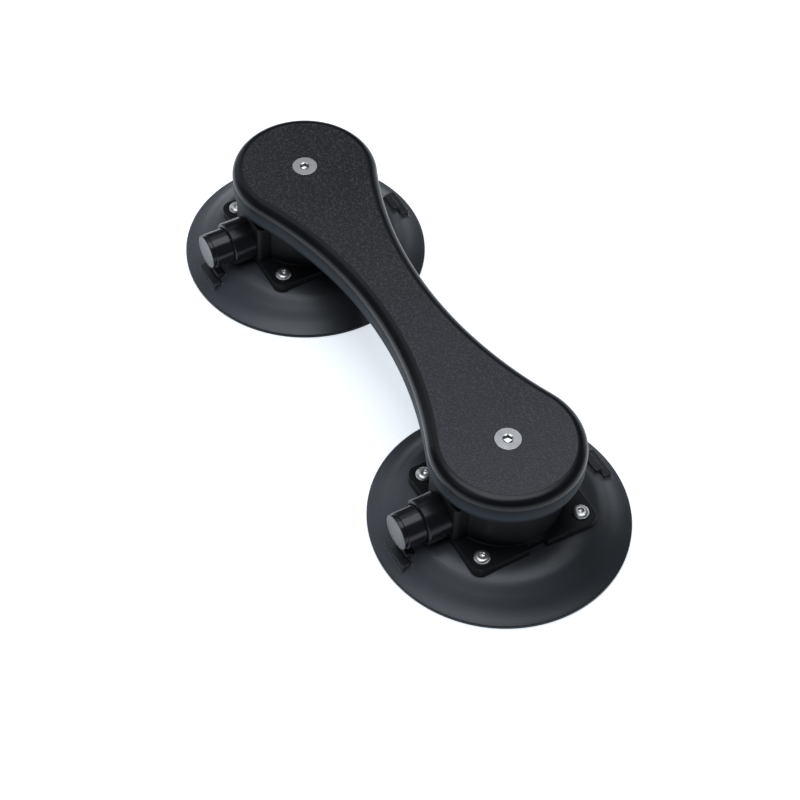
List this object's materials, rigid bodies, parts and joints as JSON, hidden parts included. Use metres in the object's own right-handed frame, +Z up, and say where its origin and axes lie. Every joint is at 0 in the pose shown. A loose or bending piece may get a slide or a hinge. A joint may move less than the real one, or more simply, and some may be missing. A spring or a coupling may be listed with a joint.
{
  "type": "vacuum suction cup mount",
  "caption": "Dog-bone mounting plate carried by round rubber vacuum pads, each with a hand pump, for holding on to glass, paint or other smooth panels.",
  "frame": {"origin": "on the surface that the pads stand on, under the middle of the plate", "axes": "+Z up, +X along the plate from the left cup to the right cup, pump buttons towards -Y"},
  "size_m": [0.3918, 0.1524, 0.0727],
  "materials": {
    "plate_plastic": "fine pebbled top, satin rounded edges",
    "pad_rubber": "smooth satin charcoal rubber",
    "body_plastic": "moulded satin black",
    "collar_plastic": "satin black",
    "button_plastic": "satin black",
    "cap_plastic": "gloss black",
    "seat_plastic": "natural acetal",
    "bush_plastic": "natural acetal",
    "piston_plastic": "natural acetal",
    "stainless": "stainless",
    "spring_steel": "drawn wire",
    "filter_mesh": "sintered",
    "clamp_aluminium": "machined",
    "insert_brass": "machined",
    "cylinder_brass": "honed bore",
    "seal_rubber": "nitrile",
    "valve_rubber": "silicone"
  },
  "bodies": {
    "frame": {"bar_plate": "plate_plastic", "left_base_screws": "stainless", "left_bush_circlip": "spring_steel", "left_check_valve": "valve_rubber", "left_clamp_plate": "clamp_aluminium", "left_guide_bush": "bush_plastic", "left_mount_insert": "insert_brass", "left_port_filter": "filter_mesh", "left_port_oring": "seal_rubber", "left_pump_body": "body_plastic", "left_pump_collar": "collar_plastic", "left_pump_cylinder": "cylinder_brass", "left_return_spring": "spring_steel", "left_seat_oring": "seal_rubber", "left_vacuum_pad": "pad_rubber", "left_valve_seat": "seat_plastic", "plate_screws": "stainless", "right_base_screws": "stainless", "right_bush_circlip": "spring_steel", "right_check_valve": "valve_rubber", "right_clamp_plate": "clamp_aluminium", "right_guide_bush": "bush_plastic", "right_mount_insert": "insert_brass", "right_port_filter": "filter_mesh", "right_port_oring": "seal_rubber", "right_pump_body": "body_plastic", "right_pump_collar": "collar_plastic", "right_pump_cylinder": "cylinder_brass", "right_return_spring": "spring_steel", "right_seat_oring": "seal_rubber", "right_vacuum_pad": "pad_rubber", "right_valve_seat": "seat_plastic"},
    "left_plunger": {"left_plunger_rod": "stainless", "left_piston": "piston_plastic", "left_piston_seal": "seal_rubber", "left_piston_screw": "stainless", "left_push_button": "button_plastic", "left_button_cap": "cap_plastic"},
    "right_plunger": {"right_plunger_rod": "stainless", "right_piston": "piston_plastic", "right_piston_seal": "seal_rubber", "right_piston_screw": "stainless", "right_push_button": "button_plastic", "right_button_cap": "cap_plastic"}
  },
  "joints": [
    {"name": "left_pump", "type": "slide", "parent": "frame", "child": "left_plunger", "axis": [0, 1, 0], "range_m": [0, 0.013], "stiffness_N_per_m": 400, "springref_m": -0.008, "deforming": ["left_return_spring"]},
    {"name": "right_pump", "type": "slide", "parent": "frame", "child": "right_plunger", "axis": [0, 1, 0], "range_m": [0, 0.013], "stiffness_N_per_m": 400, "springref_m": -0.008, "deforming": ["right_return_spring"]}
  ]
}
